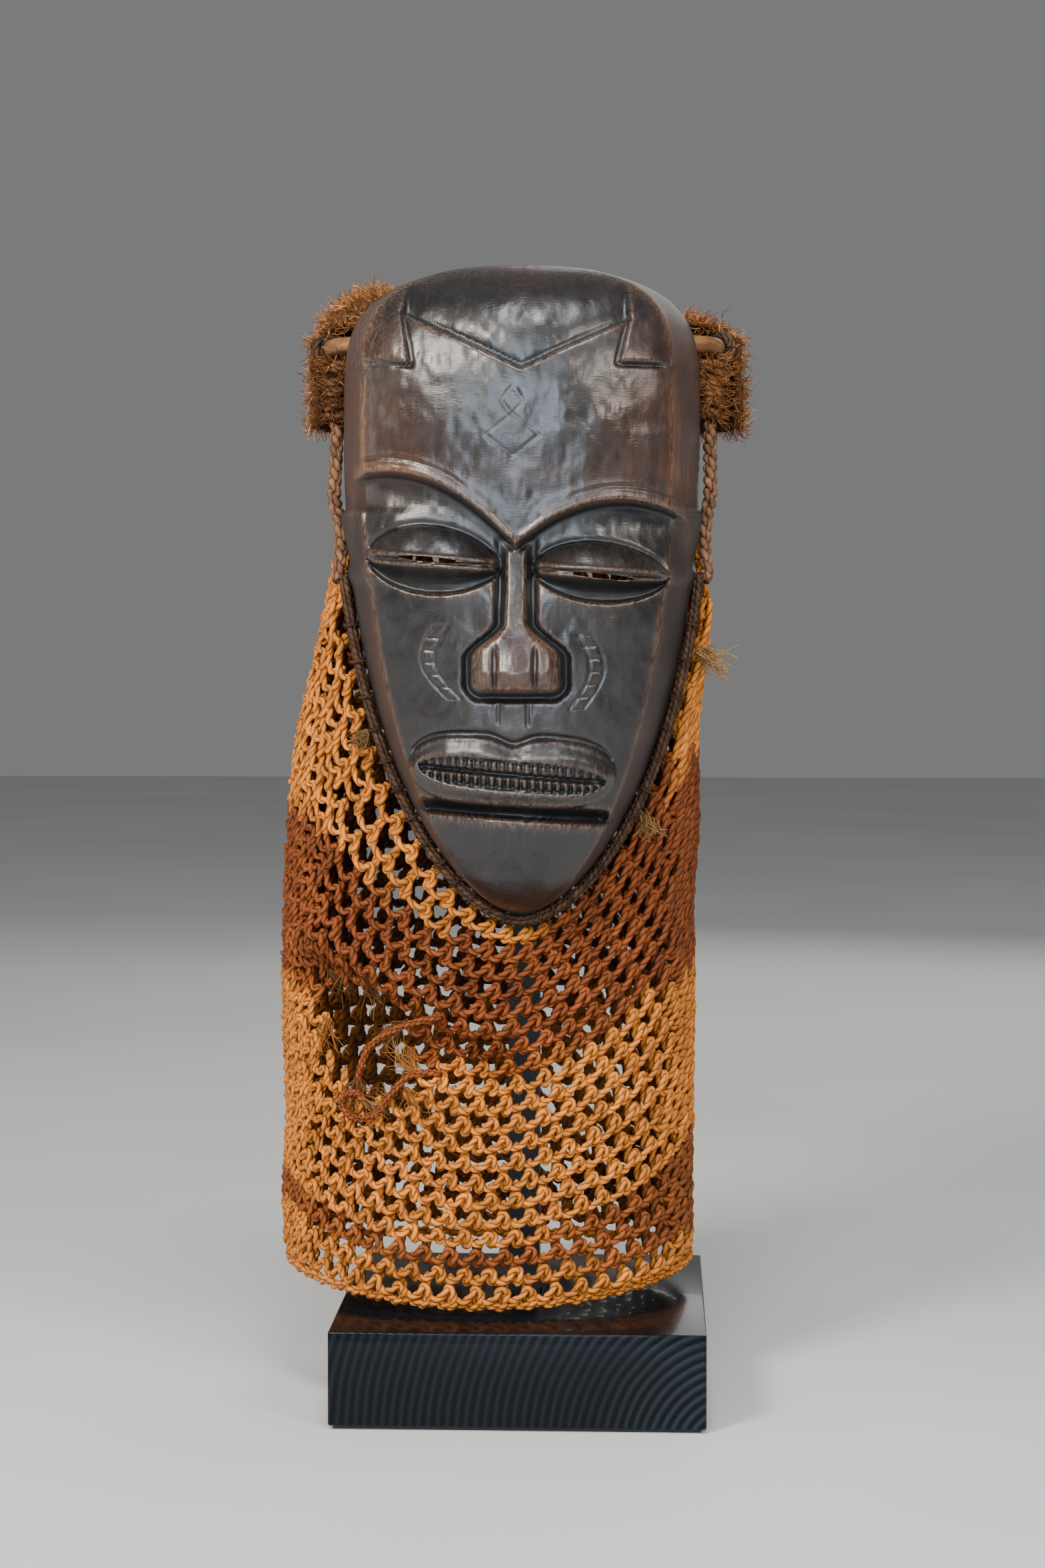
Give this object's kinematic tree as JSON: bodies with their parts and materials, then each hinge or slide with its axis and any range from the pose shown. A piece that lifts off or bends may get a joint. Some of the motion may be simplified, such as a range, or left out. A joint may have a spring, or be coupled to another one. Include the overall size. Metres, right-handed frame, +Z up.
{
  "type": "carved wooden mask on a display stand",
  "caption": "Carved dark wooden face mask with closed eyes, a striped looped-cord hood, a cane hoop and a chopped-fibre headdress, on a black block stand with a steel post.",
  "frame": {"origin": "middle of the felt's underside, where the stand rests", "axes": "+Z up along the post; the mask faces -Y; +X is to the right as the mask is seen from the front"},
  "size_m": [0.1926, 0.192, 0.4615],
  "materials": {
    "black_lacquer": "gloss black lacquer over end grain",
    "black_felt": "matt felt",
    "blackened_steel": "satin black",
    "zinc_steel": "zinc plated",
    "pad_rubber": "matt",
    "carved_wood": "hand-rubbed dark patina with worn brown edges",
    "dark_cord": "two-ply plant fibre, dark brown",
    "brown_cord": "two-ply plant fibre, brown",
    "ochre_cord": "two-ply plant fibre, undyed ochre",
    "russet_cord": "two-ply plant fibre, dyed russet",
    "cane": "split cane, satin",
    "chopped_fibre": "short curly chopped fibre, tan"
  },
  "bodies": {
    "stand": {"base_block": "black_lacquer", "base_felt": "black_felt", "stand_post": "blackened_steel", "post_screw": "zinc_steel", "post_washer": "zinc_steel"},
    "collar": {"stem_collar": "blackened_steel", "collar_setscrew": "zinc_steel"},
    "mask_unit": {"bracket": "blackened_steel", "forehead_pad": "pad_rubber", "side_pads": "pad_rubber", "mask_face": "carved_wood", "rim_cord": "dark_cord", "rim_ties": "dark_cord", "net_upper_ochre": "ochre_cord", "net_upper_russet": "russet_cord", "net_lower_ochre": "ochre_cord", "net_lower_russet": "russet_cord", "net_hem": "ochre_cord", "hem_cord": "ochre_cord", "cane_hoop": "cane", "left_hoop_lashing": "dark_cord", "right_hoop_lashing": "dark_cord", "cap_foundation": "brown_cord", "hair_pile": "chopped_fibre", "left_side_knot": "chopped_fibre", "right_side_knot": "chopped_fibre", "left_side_rope": "brown_cord", "right_side_rope": "brown_cord", "loose_strand": "russet_cord", "frayed_strand": "russet_cord"}
  },
  "joints": [
    {"name": "mask_swivel", "type": "hinge", "parent": "stand", "child": "collar", "pos_m": [0, 0, 0.3], "axis": [0, 0, 1], "continuous": true},
    {"name": "mask_lift", "type": "slide", "parent": "collar", "child": "mask_unit", "axis": [0, 0, 1], "range_m": [0, 0.27]}
  ]
}
